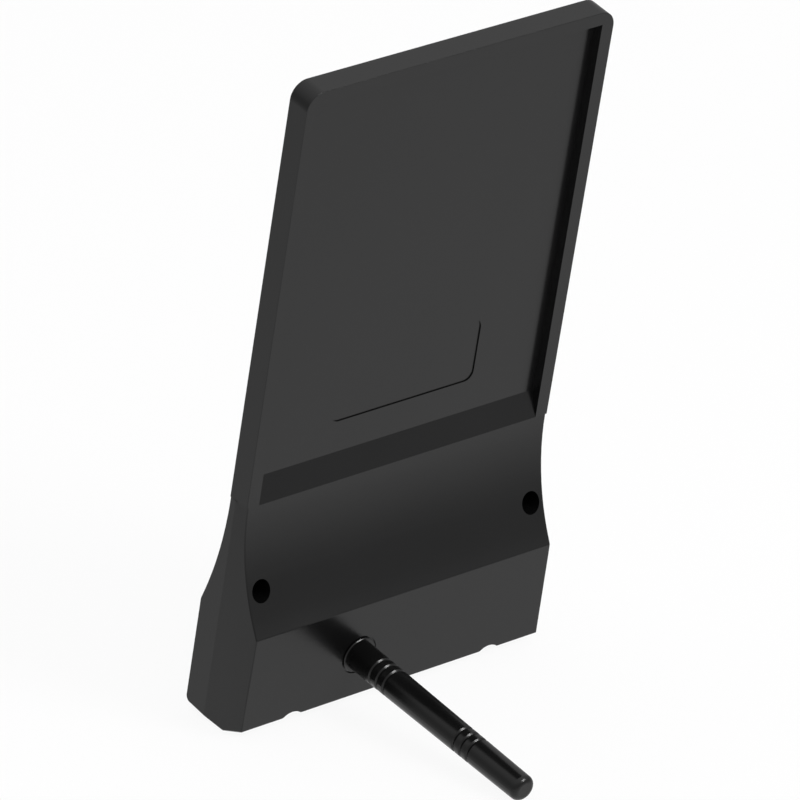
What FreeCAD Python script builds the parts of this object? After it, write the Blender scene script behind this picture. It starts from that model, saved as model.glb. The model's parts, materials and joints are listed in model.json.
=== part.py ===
import FreeCAD, Part
import math
import os

# Indoor panel antenna that leans back on a screw-in prop leg.
# It is drawn upright first: x across the panel, y from its front face to the back, z up from the underside.
# At the end all pieces are leaned back together, until the base's rear edge and the leg touch the table.

Vector = FreeCAD.Vector
ACROSS = Vector(1, 0, 0)
BACKWARD = Vector(0, 1, 0)
UP = Vector(0, 0, 1)

# Panel
panel_width = 109.75
panel_height = 204.0
panel_thickness = 7.5
panel_corner_radius = 5.2
panel_edge_radius = 0.15
panel_top_draft = 2.7
parting_y = 2.7

# Base: its front and its back flare out in an arc that starts at waist_z and ends at ridge_z
base_width = 110.0
waist_z = 71.85
ridge_z = 34.25
rear_flare = 11.1
front_flare = 6.6
bevel_height = 3.8
bevel_run = 7.65
front_draft = 4.5
rear_low_draft = 0.8
rear_waist_draft = 6.0
side_chamfer = 0.3
ridge_radius = 0.8
underside_radius = 0.5
front_toe_radius = 2.0

# Tray in the back of the panel
tray_depth = 2.72
rim_width = 4.3
tray_wall_run = 0.25
ledge_rise = 7.85
label_width = 51.8
label_height = 20.2
label_above_ledge = 10.25
label_depth = 0.35
label_corner_radius = 3.0

# Walls and fits
front_wall = 1.3
base_wall = 2.0
side_wall = 2.0
lip_thickness = 0.9
lip_inset = 1.1
lip_height = 2.3
lip_clearance = 0.1
board_clearance = 0.4
thread_clearance = 0.05

# Housing screws
screw_inset = 5.5
screw_z = 46.1
well_radius = 3.2
well_wall = 1.5
screw_seat_y = 5.0
screw_hole_radius = 1.65
screw_radius = 1.25
screw_head_radius = 2.75
screw_head_height = 2.0
screw_head_chamfer = 0.8
screw_length = 5.6
screw_boss_radius = 3.2
cross_width = 0.7
cross_depth = 0.9

# Channels under the rear edge
channel_x = 36.3
channel_radius = 5.06
channel_wall = 1.6
lead_hole_radius = 1.9

# Prop leg: distances along it start at the rear face of the base
leg_x = 14.2
leg_z = 17.6
leg_droop = 1.25
leg_length = 73.45
leg_root_radius = 4.58
leg_tip_radius = 3.94
leg_end_radius = 1.8
collar_radius = 5.6
collar_proud = 0.5
collar_chamfer = 0.25
groove_starts = (9.5, 46.1)
groove_pitch = 3.0
groove_count = 3
groove_width = 1.2
groove_depth = 0.4
seat_gap = 0.5
seat_depth = 0.4
stud_radius = 2.5
stud_in_leg = 12.0
stud_chamfer = 0.5
insert_radius = 3.5
insert_length = 8.0
insert_wall = 2.0
insert_floor = 1.2

# Aerial and its board
board_thickness = 1.0
board_above_waist = 2.0
foil_thickness = 0.2
foil_inner_x = 3.0
foil_side_gap = 11.0
foil_tail = 18.0
foil_top_gap = 12.0
foil_strip = 9.0
peg_radius = 1.5
peg_clearance = 0.1
peg_inset = 6.0
peg_end_gap = 20.0

# Matching board, balun and feed wires
match_width = 44.0
match_height = 24.0
match_thickness = 1.6
match_bottom = 10.0
match_stand_off = 4.0
post_inset = 5.0
post_radius = 2.6
small_screw_radius = 0.85
small_head_radius = 1.9
small_head_height = 1.3
small_head_chamfer = 0.5
small_screw_length = 4.6
core_width = 10.0
core_depth = 6.0
core_height = 8.0
core_hole_radius = 1.2
core_hole_x = 2.4
winding_radius = 0.4
winding_offset = 0.5
winding_tail = 1.6
feed_radius = 0.5
feed_x = 4.5
feed_overlap = 1.6
feed_bend_drop = 12.0
feed_pocket_x = 9.0
feed_pocket_y = 3.9

half_width = panel_width / 2.0
half_base = base_width / 2.0
rear_y = panel_thickness + rear_flare
front_y = -front_flare
tray_floor_y = panel_thickness - tray_depth
inner_top = panel_height - side_wall
board_back_y = front_wall + board_thickness
board_bottom = waist_z + board_above_waist
match_front_y = front_y + base_wall + match_stand_off
match_back_y = match_front_y + match_thickness
match_middle_z = match_bottom + match_height / 2.0
post_x = match_width / 2.0 - post_inset
screw_x = half_base - screw_inset
beyond = 10.0


def box(x_low, x_high, y_low, y_high, z_low, z_high):
    corner = Vector(x_low, y_low, z_low)
    return Part.makeBox(x_high - x_low, y_high - y_low, z_high - z_low, corner)


def rod_along_y(radius, x, z, y_low, y_high):
    return Part.makeCylinder(radius, y_high - y_low, Vector(x, y_low, z), BACKWARD)


def both_sides(make, x):
    """The same shape, made on the left and on the right."""
    return [make(side * x) for side in (-1, 1)]


def line(start, end):
    return Part.makeLine(start, end)


def arc(centre, start, end):
    """The short arc from start to end about a centre."""
    middle = (start + end) * 0.5 - centre
    middle.normalize()
    radius = (start - centre).Length
    return Part.Arc(start, centre + middle * radius, end).toShape()


def plate_outline(half, z_low, z_high, radius, y):
    """A rectangle across the panel whose two top corners are round."""
    right_low = Vector(half, y, z_low)
    right_high = Vector(half, y, z_high - radius)
    right_top = Vector(half - radius, y, z_high)
    left_top = Vector(radius - half, y, z_high)
    left_high = Vector(-half, y, z_high - radius)
    left_low = Vector(-half, y, z_low)
    right_centre = Vector(half - radius, y, z_high - radius)
    left_centre = Vector(radius - half, y, z_high - radius)
    edges = [
        line(right_low, right_high),
        arc(right_centre, right_high, right_top),
        line(right_top, left_top),
        arc(left_centre, left_top, left_high),
        line(left_high, left_low),
        line(left_low, right_low),
    ]
    return Part.Wire(edges)


def plate(half, z_low, z_high, radius, y_low, y_high):
    """A flat plate across the panel whose two top corners are round."""
    outline = plate_outline(half, z_low, z_high, radius, y_low)
    return Part.Face(outline).extrude(BACKWARD * (y_high - y_low))


def flare_radius(flare):
    """Radius of an arc that leaves the panel's face at the waist and is out by the flare at the ridge."""
    drop = waist_z - ridge_z
    return (drop * drop + flare * flare) / (2.0 * flare)


def flare_edge(x, face_y, flare, outward, wall, z_high):
    """One flare's arc, moved into the material by a wall, from z_high down to the ridge."""
    radius = flare_radius(flare) + wall
    centre = Vector(x, face_y + outward * flare_radius(flare), waist_z)

    def point(z):
        reach = math.sqrt(radius * radius - (waist_z - z) ** 2)
        return Vector(x, centre.y - outward * reach, z)

    return arc(centre, point(z_high), point(ridge_z)), point(z_high), point(ridge_z)


def base_block(half, wall, z_high):
    """The base's section, moved in by a wall, drawn across the panel."""
    rear_arc, rear_high, rear_ridge = flare_edge(-half, panel_thickness, rear_flare, 1, wall, z_high)
    front_arc, front_high, front_ridge = flare_edge(-half, 0.0, front_flare, -1, wall, z_high)
    bevel_slope = bevel_height / bevel_run
    bevel_shift = wall * math.hypot(1.0, bevel_slope)
    inner_bevel_y = rear_y - bevel_run + (wall - bevel_shift) / bevel_slope
    inner_bevel_z = bevel_height + bevel_shift - wall * bevel_slope
    rear_low = Vector(-half, rear_ridge.y, inner_bevel_z - (rear_y - wall - rear_ridge.y) * bevel_slope)
    under_rear = Vector(-half, inner_bevel_y, wall)
    under_front = Vector(-half, front_ridge.y, wall)
    edges = [
        rear_arc,
        line(rear_ridge, rear_low),
        line(rear_low, under_rear),
        line(under_rear, under_front),
        line(under_front, front_ridge),
        front_arc,
        line(front_high, rear_high),
    ]
    section = Part.Face(Part.Wire(Part.__sortEdges__(edges)))
    return section.extrude(ACROSS * (2.0 * half))


def edges_at(shape, y, z):
    """Edges of a shape that run across the panel at one place of its section."""
    place = Vector(0, y, z)
    found = []
    for edge in shape.Edges:
        middle = edge.CenterOfMass
        if edge.BoundBox.XLength > half_width and (Vector(0, middle.y, middle.z) - place).Length < 0.01:
            found.append(edge)
    return found


def half_footprint(y_end, low_draft, waist_draft):
    """One cover's share of the base's plan, which narrows from the parting plane to its end."""

    def plan(z, draft):
        half_end = half_base - abs(y_end - parting_y) * math.tan(math.radians(draft))
        corners = [
            Vector(-half_base, parting_y, z),
            Vector(half_base, parting_y, z),
            Vector(half_end, y_end, z),
            Vector(-half_end, y_end, z),
        ]
        return Part.makePolygon(corners + corners[:1])

    return Part.makeLoft([plan(0.0, low_draft), plan(waist_z, waist_draft)], True, True)


def base_halves():
    """The base's outside, as the front cover's share and the rear cover's share."""
    block = base_block(half_base, 0.0, waist_z)
    rounded = (
        (ridge_radius, rear_y, ridge_z),
        (underside_radius, rear_y, bevel_height),
        (underside_radius, rear_y - bevel_run, 0.0),
        (front_toe_radius, front_y, 0.0),
        (ridge_radius, front_y, ridge_z),
    )
    for radius, y, z in rounded:
        block = block.makeFillet(radius, edges_at(block, y, z))
    front = block.common(half_footprint(front_y - beyond, front_draft, front_draft))
    rear = block.common(half_footprint(rear_y + beyond, rear_low_draft, rear_waist_draft))
    return [half.makeChamfer(side_chamfer, side_outline(half)) for half in (front, rear)]


def side_outline(block):
    """The edges round the two side faces, apart from the top ones and the ones at the parting plane."""
    found = []
    for edge in block.Edges:
        bounds = edge.BoundBox
        across = bounds.XLength > half_width
        at_top = bounds.ZMin > waist_z - 0.01
        at_parting = abs(bounds.YMin - parting_y) < 0.01 and bounds.YLength < 0.01
        if not (across or at_top or at_parting):
            found.append(edge)
    return found


def panel_outside():
    rear_height = panel_height - panel_thickness * math.tan(math.radians(panel_top_draft))
    front_outline = plate_outline(half_width, waist_z, panel_height, panel_corner_radius, 0.0)
    rear_outline = plate_outline(half_width, waist_z, rear_height, panel_corner_radius, panel_thickness)
    panel = Part.makeLoft([front_outline, rear_outline], True, True)
    rounded = []
    for edge in panel.Edges:
        bounds = edge.BoundBox
        if bounds.YLength < 0.01 and bounds.ZMax > waist_z + 0.01:
            rounded.append(edge)
    return panel.makeFillet(panel_edge_radius, rounded)


def inside():
    """The hollow that the two covers share."""
    base_half = half_base - side_wall - base_wall / 2.0
    base = base_block(base_half, base_wall, waist_z - base_wall)
    thin_bottom = waist_z - 3.0 * base_wall
    thin = plate(half_width - side_wall, thin_bottom, inner_top,
                 panel_corner_radius - side_wall, front_wall, parting_y)
    pocket_top = board_bottom + base_wall
    pocket = box(-feed_pocket_x, feed_pocket_x, front_wall, feed_pocket_y, thin_bottom, pocket_top)
    return base.fuse([thin, pocket])


def lip(clearance, height):
    """The rib round the front cover's sides and top, or with a clearance the groove that takes it."""
    bottom = waist_z + base_wall - clearance
    outer_inset = lip_inset - clearance
    inner_inset = lip_inset + lip_thickness + clearance
    outer = plate(half_width - outer_inset, bottom, panel_height - outer_inset,
                  panel_corner_radius - outer_inset, parting_y, parting_y + height)
    inner = plate(half_width - inner_inset, bottom - beyond, panel_height - inner_inset,
                  panel_corner_radius - inner_inset, parting_y, parting_y + height)
    return outer.cut(inner)


def peg_places():
    x = half_width - peg_inset
    rows = (board_bottom + peg_end_gap, inner_top - peg_end_gap)
    return [(side * x, z) for side in (-1, 1) for z in rows]


def front_cover(outside, hollow):
    half = box(-panel_width, panel_width, front_y - beyond, parting_y, -beyond, panel_height + beyond)
    cover = outside.common(half).cut(hollow)
    outer_y = front_y - beyond
    posts = both_sides(lambda x: rod_along_y(post_radius, x, match_middle_z, outer_y, match_front_y), post_x)
    bosses = both_sides(lambda x: rod_along_y(screw_boss_radius, x, screw_z, outer_y, parting_y), screw_x)
    inner_ribs = [shape.common(outside) for shape in posts + bosses]
    pegs = [rod_along_y(peg_radius, x, z, front_wall, parting_y - peg_clearance) for x, z in peg_places()]
    cover = cover.fuse(inner_ribs + pegs + [lip(0.0, lip_height)])
    pilot = screw_radius + thread_clearance
    screw_end = screw_seat_y - screw_length - thread_clearance
    small_pilot = small_screw_radius + thread_clearance
    small_end = match_back_y - small_screw_length - thread_clearance
    holes = both_sides(lambda x: rod_along_y(pilot, x, screw_z, screw_end, parting_y), screw_x)
    holes += both_sides(lambda x: rod_along_y(small_pilot, x, match_middle_z, small_end, match_front_y),
                        post_x)
    return cover.cut(holes).removeSplitter()


def tray():
    """The recess in the back, with drafted sides and top and a sloping ledge below."""
    slope = tray_wall_run / tray_depth
    ledge_slope = ledge_rise / tray_depth

    def outline(y):
        in_by = rim_width + (panel_thickness - y) * slope
        low = waist_z + (panel_thickness - y) * ledge_slope
        half = half_width - in_by
        high = panel_height - in_by
        corners = [Vector(-half, y, low), Vector(half, y, low), Vector(half, y, high), Vector(-half, y, high)]
        return Part.makePolygon(corners + corners[:1])

    return Part.makeLoft([outline(tray_floor_y), outline(panel_thickness + 1.0)], True, True)


def label_recess():
    low = waist_z + ledge_rise + label_above_ledge
    half = label_width / 2.0
    recess = box(-half, half, tray_floor_y - label_depth, panel_thickness, low, low + label_height)
    corners = [edge for edge in recess.Edges if edge.BoundBox.YLength > label_depth]
    return recess.makeFillet(label_corner_radius, corners)


def leg_placement():
    """Puts a shape that was drawn along +z on the leg's axis, with z zero at the rear face."""
    turn = FreeCAD.Rotation(ACROSS, -90.0 - leg_droop)
    return FreeCAD.Placement(Vector(leg_x, rear_y, leg_z), turn)


def on_leg(shape):
    shape.Placement = leg_placement()
    return shape


def leg_rod_part(radius, low, high):
    return on_leg(Part.makeCylinder(radius, high - low, Vector(0, 0, low)))


def rear_cover(outside, hollow):
    half = box(-panel_width, panel_width, parting_y, rear_y + beyond, -beyond, panel_height + beyond)
    shell = outside.common(half).cut(hollow)
    well_outside = well_radius + well_wall
    tube_outside = channel_radius + channel_wall
    wells = both_sides(lambda x: rod_along_y(well_outside, x, screw_z, parting_y, rear_y), screw_x)
    tubes = both_sides(lambda x: rod_along_y(tube_outside, x, 0.0, parting_y, rear_y), channel_x)
    insert_end = -seat_depth - insert_length - insert_floor
    boss = leg_rod_part(insert_radius + insert_wall, insert_end, beyond)
    inner_ribs = [shape.common(outside).common(half) for shape in wells + tubes + [boss]]
    cover = shell.fuse(inner_ribs)
    channel_end = parting_y + channel_wall
    lead_hole_z = channel_radius - channel_wall / 2.0 - lead_hole_radius
    cuts = both_sides(lambda x: rod_along_y(well_radius, x, screw_z, screw_seat_y, rear_y), screw_x)
    cuts += both_sides(lambda x: rod_along_y(screw_hole_radius, x, screw_z, parting_y, screw_seat_y), screw_x)
    cuts += both_sides(lambda x: rod_along_y(channel_radius, x, 0.0, channel_end, rear_y + beyond), channel_x)
    cuts += both_sides(lambda x: rod_along_y(lead_hole_radius, x, lead_hole_z, 0.0, channel_end), channel_x)
    cuts += [leg_rod_part(collar_radius + seat_gap, -seat_depth, beyond)]
    cuts += [leg_rod_part(insert_radius, -seat_depth - insert_length, beyond)]
    cuts += [tray(), label_recess(), lip(lip_clearance, lip_height + lip_clearance)]
    return cover.cut(cuts).removeSplitter()


def pan_screw(radius, length, head_radius, head_height, head_chamfer):
    """A pan head screw along y, with its head's underside at zero and its shank toward the front."""
    shank = rod_along_y(radius, 0.0, 0.0, -length, 0.0)
    head = rod_along_y(head_radius, 0.0, 0.0, 0.0, head_height)
    top = [edge for edge in head.Edges if edge.BoundBox.YMin > head_height / 2.0]
    head = head.makeChamfer(head_chamfer, top)
    arm = head_radius * 0.6
    cross_low = head_height - cross_depth
    across = box(-arm, arm, cross_low, head_height, -cross_width / 2.0, cross_width / 2.0)
    upright = box(-cross_width / 2.0, cross_width / 2.0, cross_low, head_height, -arm, arm)
    return head.fuse(shank).cut([across, upright]).removeSplitter()


def screw_pair(screw, x, y, z):
    return Part.makeCompound(both_sides(lambda place: screw.translated(Vector(place, y, z)), x))


def housing_screws():
    screw = pan_screw(screw_radius, screw_length, screw_head_radius, screw_head_height, screw_head_chamfer)
    return screw_pair(screw, screw_x, screw_seat_y, screw_z)


def matching_board_screws():
    screw = pan_screw(small_screw_radius, small_screw_length, small_head_radius, small_head_height,
                      small_head_chamfer)
    return screw_pair(screw, post_x, match_back_y, match_middle_z)


def leg_radius(distance):
    """The shaft's even taper from the rear face of the base to the tip."""
    return leg_root_radius + (leg_tip_radius - leg_root_radius) * distance / leg_length


def groove_outline(start):
    """Section of one ring groove: a wall at 45 degrees that faces the tip, and a longer slope back out."""
    end = start + groove_width
    return [
        Vector(leg_radius(start), 0, start),
        Vector(leg_radius(start) - groove_depth, 0, start + groove_depth),
        Vector(leg_radius(end), 0, end),
    ]


def leg_rod():
    """The turned leg: a thin collar at the root, a long taper, ring grooves and a round end."""
    outline = [
        Vector(stud_radius, 0, stud_in_leg),
        Vector(stud_radius, 0, -seat_depth),
        Vector(collar_radius, 0, -seat_depth),
        Vector(collar_radius, 0, collar_proud - collar_chamfer),
        Vector(collar_radius - collar_chamfer, 0, collar_proud),
        Vector(leg_radius(collar_proud), 0, collar_proud),
    ]
    for start in groove_starts:
        for number in range(groove_count):
            outline += groove_outline(start + number * groove_pitch)
    outline += [
        Vector(leg_tip_radius, 0, leg_length),
        Vector(0, 0, leg_length),
        Vector(0, 0, stud_in_leg),
    ]
    section = Part.Face(Part.makePolygon(outline + outline[:1]))
    rod = section.revolve(Vector(0, 0, 0), UP, 360)
    end = [edge for edge in rod.Edges if edge.BoundBox.ZMin > leg_length - 0.01]
    return on_leg(rod.makeFillet(leg_end_radius, end))


def leg_stud():
    low = -seat_depth - insert_length + stud_chamfer
    stud = Part.makeCylinder(stud_radius, stud_in_leg - low, Vector(0, 0, low))
    inner_end = [edge for edge in stud.Edges if edge.BoundBox.ZMax < low + 0.01]
    return on_leg(stud.makeChamfer(stud_chamfer, inner_end))


def leg_insert():
    low = Vector(0, 0, -seat_depth - insert_length)
    bush = Part.makeCylinder(insert_radius, insert_length, low)
    return on_leg(bush.cut(Part.makeCylinder(stud_radius + thread_clearance, insert_length, low)))


def antenna_board():
    half = half_width - side_wall - board_clearance
    radius = panel_corner_radius - side_wall
    board = plate(half, board_bottom, inner_top - board_clearance, radius, front_wall, board_back_y)
    hole_radius = peg_radius + peg_clearance
    return board.cut([rod_along_y(hole_radius, x, z, 0.0, panel_thickness) for x, z in peg_places()])


def radiator(side):
    """Half of the aerial: a foil loop with a tail down to the feed point."""
    low_y = board_back_y
    high_y = board_back_y + foil_thickness
    outer_x = half_width - foil_side_gap
    bottom = board_bottom + foil_tail
    top = inner_top - foil_top_gap
    loop = box(foil_inner_x, outer_x, low_y, high_y, bottom, top)
    opening = box(foil_inner_x + foil_strip, outer_x - foil_strip, low_y, high_y,
                  bottom + foil_strip, top - foil_strip)
    tail = box(foil_inner_x, foil_inner_x + foil_strip / 3.0, low_y, high_y, board_bottom, bottom)
    half = loop.cut(opening).fuse(tail).removeSplitter()
    if side < 0:
        return half.mirror(Vector(0, 0, 0), ACROSS)
    return half


def matching_board():
    half = match_width / 2.0
    board = box(-half, half, match_front_y, match_back_y, match_bottom, match_bottom + match_height)
    hole = small_screw_radius + peg_clearance
    holes = both_sides(lambda x: rod_along_y(hole, x, match_middle_z, match_front_y, match_back_y), post_x)
    return board.cut(holes)


def core_middle():
    return Vector(0, match_back_y + core_depth / 2.0, match_middle_z)


def balun_core():
    middle = core_middle()
    half = core_width / 2.0
    low = middle.z - core_height / 2.0
    core = box(-half, half, match_back_y, match_back_y + core_depth, low, low + core_height)

    def hole(x):
        return Part.makeCylinder(core_hole_radius, core_height, Vector(x, middle.y, low))

    return core.cut(both_sides(hole, core_hole_x))


def wire(points, radius):
    """A round wire through a few points, mitred at each bend."""
    start = Part.makeCircle(radius, points[0], points[1] - points[0])
    pipe = Part.BRepOffsetAPI.MakePipeShell(Part.makePolygon(points))
    pipe.setTransitionMode(1)
    pipe.add(Part.Wire(start))
    pipe.build()
    pipe.makeSolid()
    return pipe.shape()


def balun_winding(tail_side, y_offset):
    """One turn through both holes of the core, with its two tails on the board above or below the core."""
    middle = core_middle()
    y = middle.y + y_offset
    tail_z = middle.z + tail_side * (core_height / 2.0 + winding_tail)
    far_z = middle.z - tail_side * (core_height / 2.0 + winding_radius)
    points = [
        Vector(-core_hole_x, match_back_y, tail_z),
        Vector(-core_hole_x, y, tail_z),
        Vector(-core_hole_x, y, far_z),
        Vector(core_hole_x, y, far_z),
        Vector(core_hole_x, y, tail_z),
        Vector(core_hole_x, match_back_y, tail_z),
    ]
    return wire(points, winding_radius)


def feed_wire(side):
    """A wire from the foil's tail down to the top of the matching board."""
    x = side * feed_x
    foil_y = board_back_y + foil_thickness + feed_radius
    board_y = match_back_y + feed_radius
    board_top = match_bottom + match_height
    points = [
        Vector(x, foil_y, board_bottom + feed_overlap),
        Vector(x, foil_y, waist_z - feed_bend_drop),
        Vector(x, board_y, board_top + feed_overlap),
        Vector(x, board_y, board_top - 2.0 * feed_overlap),
    ]
    return wire(points, feed_radius)


def lean_angle():
    """The angle of the line under the base's rear edge and the leg's round end, in degrees."""
    droop = math.radians(leg_droop)
    along = leg_length - leg_end_radius
    below = leg_tip_radius - leg_end_radius
    end_y = rear_y + along * math.cos(droop) - below * math.sin(droop)
    end_z = leg_z - along * math.sin(droop) - below * math.cos(droop)
    run = end_y - (rear_y - bevel_run)
    return math.degrees(math.atan2(end_z, run) - math.asin(leg_end_radius / math.hypot(run, end_z)))


def leaned(shape):
    """A copy of a shape, leaned back about the base's rear edge."""
    edge = Vector(0, rear_y - bevel_run, 0)
    copy = shape.copy()
    copy.rotate(edge, ACROSS, -lean_angle())
    return copy


def build():
    outside = panel_outside().fuse(base_halves()).removeSplitter()
    hollow = inside()
    return {
        "front_cover": front_cover(outside, hollow),
        "rear_cover": rear_cover(outside, hollow),
        "housing_screws": housing_screws(),
        "leg_rod": leg_rod(),
        "leg_stud": leg_stud(),
        "leg_insert": leg_insert(),
        "antenna_board": antenna_board(),
        "radiator_left": radiator(-1),
        "radiator_right": radiator(1),
        "matching_board": matching_board(),
        "matching_board_screws": matching_board_screws(),
        "balun_core": balun_core(),
        "balun_winding_aerial": balun_winding(1, winding_offset),
        "balun_winding_lead": balun_winding(-1, -winding_offset),
        "feed_wire_left": feed_wire(-1),
        "feed_wire_right": feed_wire(1),
    }


os.makedirs("parts", exist_ok=True)
pieces = {name: leaned(shape) for name, shape in build().items()}
extent = Part.makeCompound(list(pieces.values())).optimalBoundingBox()
to_origin = Vector(-extent.Center.x, -extent.Center.y, -extent.ZMin)
for name, shape in pieces.items():
    shape.translate(to_origin)
    shape.exportStep("parts/" + name + ".step")
print("lean", round(lean_angle(), 2), "size", extent.XLength, extent.YLength, extent.ZLength)
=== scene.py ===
# %% [markdown]
# # An indoor panel antenna, dressed for a studio picture
# The antenna is a thin black panel that leans back on a turned plastic leg.
# Its pieces come ready made at their real size, so this lesson gives them their finishes, light and camera.
# The first cell loads the pieces and bakes where each one stands into its mesh.

# %% Load the pieces
import json
import math

import bpy
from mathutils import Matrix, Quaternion, Vector

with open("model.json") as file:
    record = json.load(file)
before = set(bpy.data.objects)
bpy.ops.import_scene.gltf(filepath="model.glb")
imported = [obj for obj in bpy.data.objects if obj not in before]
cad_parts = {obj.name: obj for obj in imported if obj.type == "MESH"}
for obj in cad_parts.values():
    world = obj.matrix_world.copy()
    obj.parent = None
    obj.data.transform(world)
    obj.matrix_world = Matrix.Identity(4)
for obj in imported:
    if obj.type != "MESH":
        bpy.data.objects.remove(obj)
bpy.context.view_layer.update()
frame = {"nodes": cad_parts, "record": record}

MM = 0.001

# %% [markdown]
# ## The camera
# A product picture is taken from far away with a long lens, so that upright edges stay nearly parallel.
# The camera could be set by hand, but a turn, a tilt and a distance from an aim are easier to correct.
# It looks at the panel's back from above and from the left, and it is rolled a little, as the picture is.
# Distances are in metres, and the lens is in millimetres, as Blender has it.

# %% Place the camera
camera_turn = math.radians(41.112)
camera_tilt = math.radians(24.589)
camera_roll = math.radians(2.522)
camera_distance = 2.32
camera_aim = Vector((0.01325, -0.011066, 0.099218))
camera_lens = 377.73

level = math.cos(camera_tilt)
toward_camera = Vector((level * math.sin(camera_turn), level * math.cos(camera_turn), math.sin(camera_tilt)))
view_axis = Vector((0, 0, 1))
camera_data = bpy.data.cameras.new("picture_camera")
camera_data.lens = camera_lens
camera = bpy.data.objects.new("picture_camera", camera_data)
camera.location = camera_aim + toward_camera * camera_distance
camera.rotation_mode = "QUATERNION"
camera.rotation_quaternion = toward_camera.to_track_quat("Z", "Y") @ Quaternion(view_axis, camera_roll)
bpy.context.scene.collection.objects.link(camera)
bpy.context.scene.camera = camera
print("camera at", [round(value, 3) for value in camera.location])

# %% [markdown]
# ## Helpers for node trees
# A finish is a small network of nodes, and each one is made and joined in the same way.
# Short helpers keep the recipes below down to the lines that say something about the finish.
# The two shaders of a mix share one name, so they are picked by number.

# %% Node helpers
MIX_FIRST, MIX_SECOND = 1, 2


def add_node(tree, kind, **values):
    """Adds a node and sets its inputs by name, with underscores for spaces."""
    node = tree.nodes.new(kind)
    for name, value in values.items():
        node.inputs[name.replace("_", " ")].default_value = value
    return node


def join(tree, source, output, target, entry):
    """Joins one node's output to another node's input, by name or by number."""
    tree.links.new(source.outputs[output], target.inputs[entry])


def grey(shade):
    return (shade, shade, shade, 1)


print("node helpers ready")

# %% [markdown]
# ## The light table
# Small black products are often shot on a table of clouded acrylic, lit from below, with no visible edge.
# A floor that was only lit from above would be grey in places.
# Stronger lamps would make it white, but they would wash out the black plastic.
# So most of this sheet lets the white tent through, and a small share of it is matt and takes the shadow.

# %% Table
table_reach = 6.0
clear_share = 0.92
matt_white = grey(0.92)

table_mesh = bpy.data.meshes.new("light_table")
corners = [(-table_reach, -table_reach, 0), (table_reach, -table_reach, 0),
           (table_reach, table_reach, 0), (-table_reach, table_reach, 0)]
table_mesh.from_pydata(corners, [], [(0, 1, 2, 3)])
table = bpy.data.objects.new("light_table", table_mesh)
bpy.context.scene.collection.objects.link(table)


def clouded_acrylic():
    material = bpy.data.materials.new("clouded_acrylic")
    material.use_nodes = True
    tree = material.node_tree
    tree.nodes.clear()
    matt = add_node(tree, "ShaderNodeBsdfDiffuse", Color=matt_white)
    clear = add_node(tree, "ShaderNodeBsdfTransparent")
    mix = add_node(tree, "ShaderNodeMixShader", Fac=clear_share)
    output = add_node(tree, "ShaderNodeOutputMaterial")
    join(tree, matt, "BSDF", mix, MIX_FIRST)
    join(tree, clear, "BSDF", mix, MIX_SECOND)
    join(tree, mix, "Shader", output, "Surface")
    return material


table.data.materials.append(clouded_acrylic())
print("table", 2 * table_reach, "m wide, clear share", clear_share)

# %% [markdown]
# ## The light tent
# Black plastic shows almost no colour of its own: what it shows is the room.
# The room here is a tent that is bright below, where the table glows, grey at eye level and paler overhead.
# Each band is written as the height that a direction points to, from straight down to straight up,
# and the light that comes from there.
# The far side, in front of the antenna, is a little darker, as when all the lamps stand near the camera.

# %% Tent
straight_down, straight_up = -1.0, 1.0
tent_light = ((straight_down, 0.95), (-0.6, 0.87), (-0.4, 0.735), (-0.15, 0.45),
              (0.25, 0.46), (0.6, 0.70), (straight_up, 0.95))
far_side_light = 0.75
far_side_start = -0.5
far_side_end = -0.85

world = bpy.data.worlds.new("light_tent")
bpy.context.scene.world = world
world.use_nodes = True
tent = world.node_tree
tent.nodes.clear()
direction = add_node(tent, "ShaderNodeTexCoord")
split = add_node(tent, "ShaderNodeSeparateXYZ")
join(tent, direction, "Generated", split, "Vector")

height = add_node(tent, "ShaderNodeMapRange", From_Min=straight_down, From_Max=straight_up)
bands = add_node(tent, "ShaderNodeValToRGB")
stops = bands.color_ramp.elements
while len(stops) < len(tent_light):
    stops.new(position=0.5)  # its real place follows
for stop, (rise, light) in zip(stops, tent_light):
    stop.position = (rise - straight_down) / (straight_up - straight_down)
    stop.color = grey(light)
join(tent, split, "Z", height, "Value")
join(tent, height, "Result", bands, "Fac")

far_side = add_node(tent, "ShaderNodeMapRange", From_Min=far_side_end, From_Max=far_side_start,
                    To_Min=far_side_light, To_Max=1.0)
tent_wall = add_node(tent, "ShaderNodeBackground")
join(tent, split, "Y", far_side, "Value")
join(tent, bands, "Color", tent_wall, "Color")
join(tent, far_side, "Result", tent_wall, "Strength")
print("tent light from below to above:", [light for rise, light in tent_light])

# %% [markdown]
# ## The white ground
# The camera sees the tent as plain white, also through anything clear, so the picture keeps a clean ground.
# Painting the whole tent white would do that too, but then every face would reflect the same grey.
# So reflections see the bands, because they are all that black plastic shows.

# %% White for the camera
white = add_node(tent, "ShaderNodeBackground", Color=grey(1.0), Strength=1.0)
rays = add_node(tent, "ShaderNodeLightPath")
straight = add_node(tent, "ShaderNodeMath")
straight.operation = "MAXIMUM"
seen = add_node(tent, "ShaderNodeMixShader")
tent_output = add_node(tent, "ShaderNodeOutputWorld")
for entry, ray in enumerate(("Is Camera Ray", "Is Transmission Ray")):
    join(tent, rays, ray, straight, entry)
join(tent, straight, "Value", seen, "Fac")
join(tent, tent_wall, "Background", seen, MIX_FIRST)
join(tent, white, "Background", seen, MIX_SECOND)
join(tent, seen, "Shader", tent_output, "Surface")
print("tent nodes:", len(tent.nodes))

# %% [markdown]
# ## The lamp
# One soft lamp above and behind the leg draws the bright lines on its rings, its collar and its round end.
# It stands where no flat face of the case mirrors it into the camera, so those stay even.
# The case would mirror it onto the leg as a long streak, so it counts only where its own light falls.

# %% Lamp
lamp_place = Vector((-0.53, 1.25, 0.95))
lamp_target = Vector((0.0, 0.0, 0.05))
lamp_size = 0.75
lamp_power = 15.0

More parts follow.
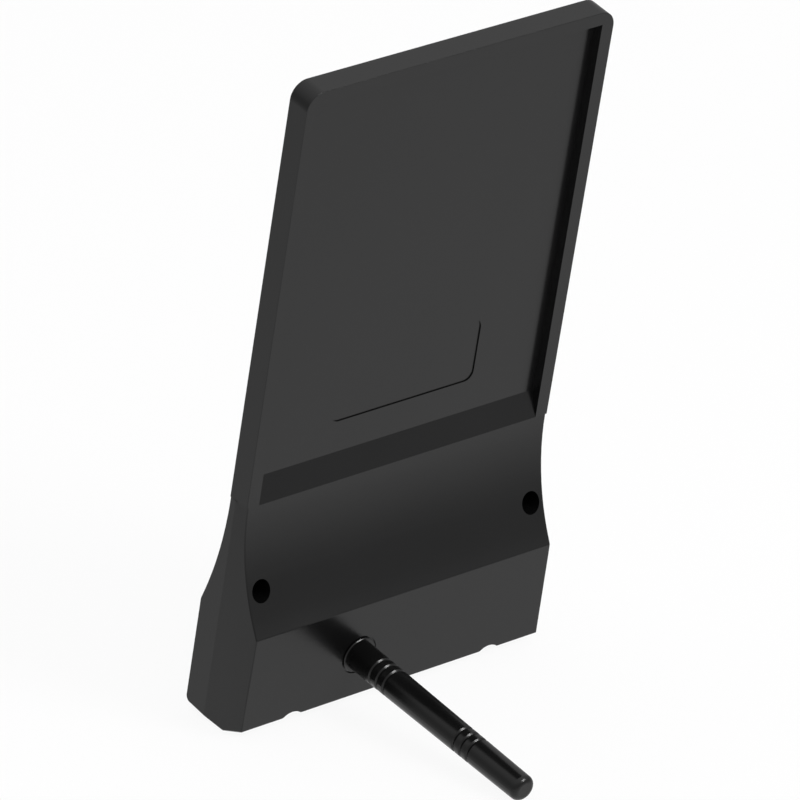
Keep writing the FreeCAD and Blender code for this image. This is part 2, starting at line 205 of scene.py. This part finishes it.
lamp_data = bpy.data.lights.new("soft_lamp", "AREA")
lamp_data.shape = "DISK"
lamp_data.size = lamp_size
lamp_data.energy = lamp_power
lamp_data.cycles.max_bounces = 0
lamp_data.cycles.use_multiple_importance_sampling = False
lamp = bpy.data.objects.new("soft_lamp", lamp_data)
lamp.location = lamp_place
lamp.rotation_mode = "QUATERNION"
lamp.rotation_quaternion = (lamp_place - lamp_target).to_track_quat("Z", "Y")
bpy.context.scene.collection.objects.link(lamp)
bpy.context.scene.view_settings.view_transform = "Standard"
print("lamp", lamp_power, "W at", [round(value, 2) for value in lamp_place])

# %% [markdown]
# ## What every finish shares
# Moulded and turned plastic is never quite even: its gloss drifts over some centimetres.
# On top of that, a fine grain breaks the reflections up.
# A picture of a real surface could carry that, but noise in millimetres fits every piece without seams.
# One base function gives a finish its colour, roughness and grain, and each material below says how much.
# Nearly all of the noise lies between two limits, so the darkest and the lightest tone are put there.

# %% Surface recipe
noise_low, noise_high = 0.3, 0.7


def surface(name, dark, light, roughness, spread, drift, grain, grain_height, **shader_values):
    """A finish whose colour and roughness drift slowly, with a fine grain on top, sizes in metres."""
    material = bpy.data.materials.new(name)
    material.use_nodes = True
    tree = material.node_tree
    tree.nodes.clear()
    place = add_node(tree, "ShaderNodeTexCoord")
    cloud = add_node(tree, "ShaderNodeTexNoise", Scale=1.0 / drift, Detail=2.0)
    colour = add_node(tree, "ShaderNodeValToRGB")
    stops = zip(colour.color_ramp.elements, (noise_low, noise_high), (dark, light))
    for stop, position, tint in stops:
        stop.position = position
        stop.color = (*tint, 1)
    rough = add_node(tree, "ShaderNodeMapRange", From_Min=noise_low, From_Max=noise_high,
                     To_Min=roughness - spread, To_Max=roughness + spread)
    speck = add_node(tree, "ShaderNodeTexNoise", Scale=1.0 / grain, Detail=3.0)
    bump = add_node(tree, "ShaderNodeBump", Strength=1.0, Distance=grain_height)
    shader = add_node(tree, "ShaderNodeBsdfPrincipled", **shader_values)
    output = add_node(tree, "ShaderNodeOutputMaterial")
    join(tree, place, "Object", cloud, "Vector")
    join(tree, place, "Object", speck, "Vector")
    join(tree, cloud, "Fac", colour, "Fac")
    join(tree, colour, "Color", shader, "Base Color")
    join(tree, cloud, "Fac", rough, "Value")
    join(tree, rough, "Result", shader, "Roughness")
    join(tree, speck, "Fac", bump, "Height")
    join(tree, bump, "Normal", shader, "Normal")
    join(tree, shader, "BSDF", output, "Surface")
    return material


print("surface recipe ready")

# %% [markdown]
# ## Black plastic
# The two covers are moulded in black plastic with a satin skin that mirrors the tent softly.
# The leg is turned from a harder plastic, and its skin is a little darker and less even.
# Both are real black, a few parts in a thousand, because the grey that shows is reflection.

# %% Case and leg
def case_plastic():
    return surface("case_plastic", dark=(0.0026, 0.0026, 0.0027), light=(0.0034, 0.0034, 0.0035),
                   roughness=0.22, spread=0.01, drift=40 * MM, grain=0.35 * MM, grain_height=0.0010 * MM,
                   IOR=1.444)


def leg_plastic():
    return surface("leg_plastic", dark=(0.002, 0.002, 0.002), light=(0.003, 0.003, 0.003),
                   roughness=0.24, spread=0.02, drift=25 * MM, grain=0.3 * MM, grain_height=0.0008 * MM,
                   IOR=1.435)


finishes = {"case_plastic": case_plastic(), "leg_plastic": leg_plastic()}
print("plastics:", sorted(finishes))

# %% [markdown]
# ## Metals
# The housing screws are blackened steel, and the stud, insert, foil and wires are bare metal in the case.
# A metal's colour is its reflection, so each one is a metallic surface with its own tint and roughness.
# A coarser grain on the brass and the foil stands for tool marks and for the crumple of thin sheet.

# %% Screws, stud, insert, foil and wire
def metal(name, **recipe):
    return surface(name, spread=0.05, Metallic=1.0, **recipe)


metal_recipes = {
    "black_screw": dict(dark=(0.015, 0.015, 0.016), light=(0.03, 0.03, 0.032), roughness=0.38,
                        drift=3 * MM, grain=0.2 * MM, grain_height=0.004 * MM),
    "stud_steel": dict(dark=(0.5, 0.5, 0.51), light=(0.62, 0.62, 0.63), roughness=0.3,
                       drift=4 * MM, grain=0.25 * MM, grain_height=0.004 * MM),
    "insert_brass": dict(dark=(0.7, 0.5, 0.19), light=(0.83, 0.62, 0.27), roughness=0.28,
                         drift=4 * MM, grain=0.3 * MM, grain_height=0.006 * MM),
    "aerial_foil": dict(dark=(0.74, 0.74, 0.76), light=(0.86, 0.86, 0.88), roughness=0.3,
                        drift=12 * MM, grain=4 * MM, grain_height=0.03 * MM),
    "copper_wire": dict(dark=(0.6, 0.27, 0.13), light=(0.75, 0.38, 0.2), roughness=0.25,
                        drift=3 * MM, grain=0.4 * MM, grain_height=0.004 * MM),
}
for name, recipe in metal_recipes.items():
    finishes[name] = metal(name, **recipe)
print("metals:", sorted(metal_recipes))

# %% [markdown]
# ## Boards and ferrite
# The two boards are glass-fibre laminate under a green lacquer, and the transformer core is fired ferrite.
# Neither shows from outside, but a reader who takes the case apart meets them, so they are finished too.

# %% Laminate and ferrite
def board_laminate():
    return surface("board_laminate", dark=(0.03, 0.12, 0.045), light=(0.05, 0.17, 0.065),
                   roughness=0.4, spread=0.05, drift=15 * MM, grain=0.6 * MM, grain_height=0.004 * MM)


def ferrite():
    return surface("ferrite", dark=(0.018, 0.018, 0.02), light=(0.04, 0.04, 0.043),
                   roughness=0.55, spread=0.08, drift=2 * MM, grain=0.3 * MM, grain_height=0.01 * MM)


finishes["board_laminate"] = board_laminate()
finishes["ferrite"] = ferrite()
print("finishes:", sorted(finishes))

# %% [markdown]
# ## Dress the pieces
# The record says which finish each piece has, so one loop can dress them all.
# A piece's own mesh stays as it was made: only its material slot changes.

# %% Put on the finishes
for part in frame["record"]["subparts"]:
    piece = frame["nodes"][part["node"]]
    piece.data.materials.clear()
    piece.data.materials.append(finishes[part["material_slot"]])
    print(part["node"], "wears", part["material_slot"], len(piece.data.polygons), "faces")
